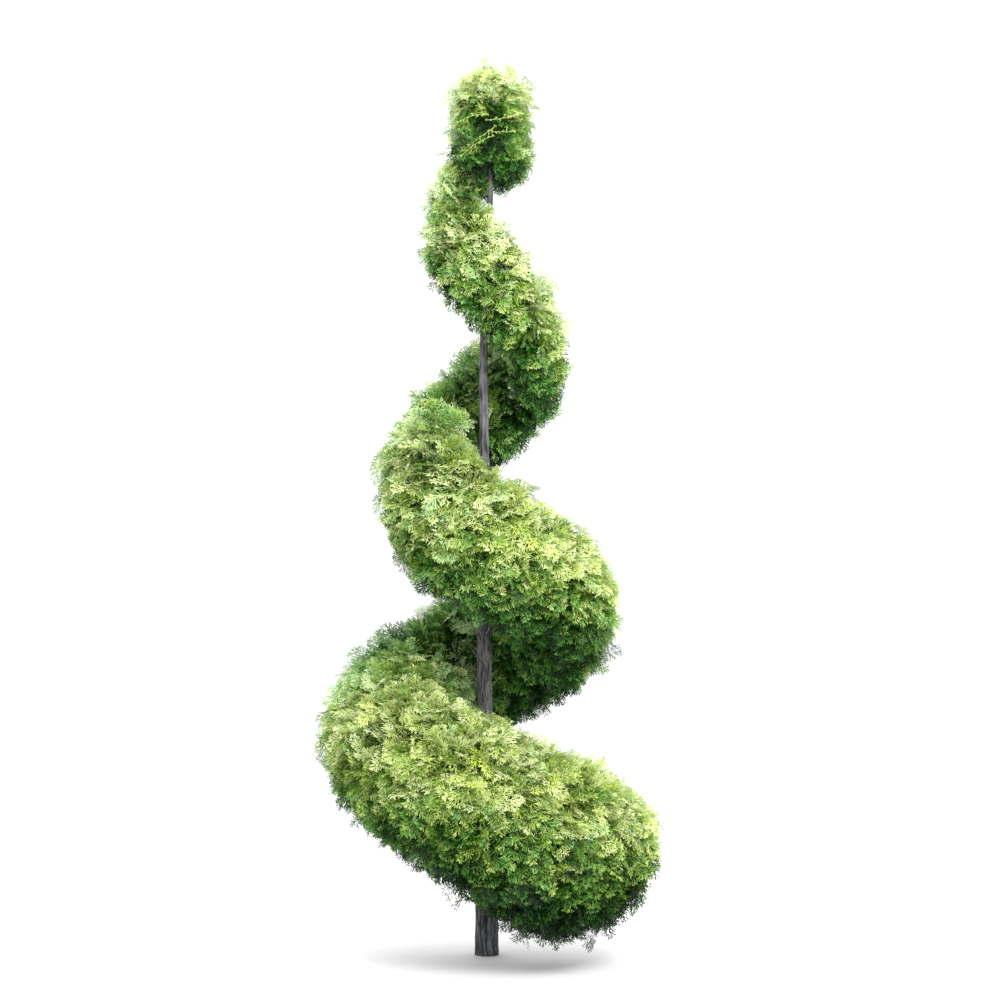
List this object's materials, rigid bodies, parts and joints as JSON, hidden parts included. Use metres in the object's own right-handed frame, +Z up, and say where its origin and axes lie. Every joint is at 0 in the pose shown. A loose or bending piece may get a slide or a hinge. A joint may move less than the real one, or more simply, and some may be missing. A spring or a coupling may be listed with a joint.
{
  "type": "spiral topiary",
  "caption": "Clipped conifer trained as a rooted spiral: a bare tapering trunk with a climbing coil of fine scale-leaved foliage, narrowing to a rounded top.",
  "frame": {"origin": "centre of the trunk's flat cut at ground level", "axes": "+Z up the trunk, -Y towards the front, where the lowest coil crosses the trunk, and +X to the right, where the coil's foot ends"},
  "size_m": [0.9737, 0.9274, 2.588],
  "materials": {
    "bark": "rough grey-brown bark with fine upright fissures",
    "foliage": "soft matt green scale-leaved sprays, yellow-green at the tips and dark inside"
  },
  "bodies": {
    "root": {"crown_top": "foliage", "trunk": "bark", "turn_1_back": "foliage", "turn_1_back_bough_lower": "bark", "turn_1_back_bough_upper": "bark", "turn_1_foot": "foliage", "turn_1_foot_bough_lower": "bark", "turn_1_foot_bough_upper": "bark", "turn_1_front": "foliage", "turn_1_front_bough_lower": "bark", "turn_1_front_bough_upper": "bark", "turn_1_left": "foliage", "turn_1_left_bough_lower": "bark", "turn_1_left_bough_upper": "bark", "turn_1_right": "foliage", "turn_1_right_bough_lower": "bark", "turn_1_right_bough_upper": "bark", "turn_2_back": "foliage", "turn_2_back_bough_lower": "bark", "turn_2_back_bough_upper": "bark", "turn_2_front": "foliage", "turn_2_front_bough_lower": "bark", "turn_2_front_bough_upper": "bark", "turn_2_left": "foliage", "turn_2_left_bough_lower": "bark", "turn_2_left_bough_upper": "bark", "turn_2_right": "foliage", "turn_2_right_bough_lower": "bark", "turn_2_right_bough_upper": "bark", "turn_3_front": "foliage", "turn_3_front_bough_lower": "bark", "turn_3_front_bough_upper": "bark", "turn_3_left": "foliage", "turn_3_left_bough_lower": "bark", "turn_3_left_bough_upper": "bark"}
  },
  "joints": []
}
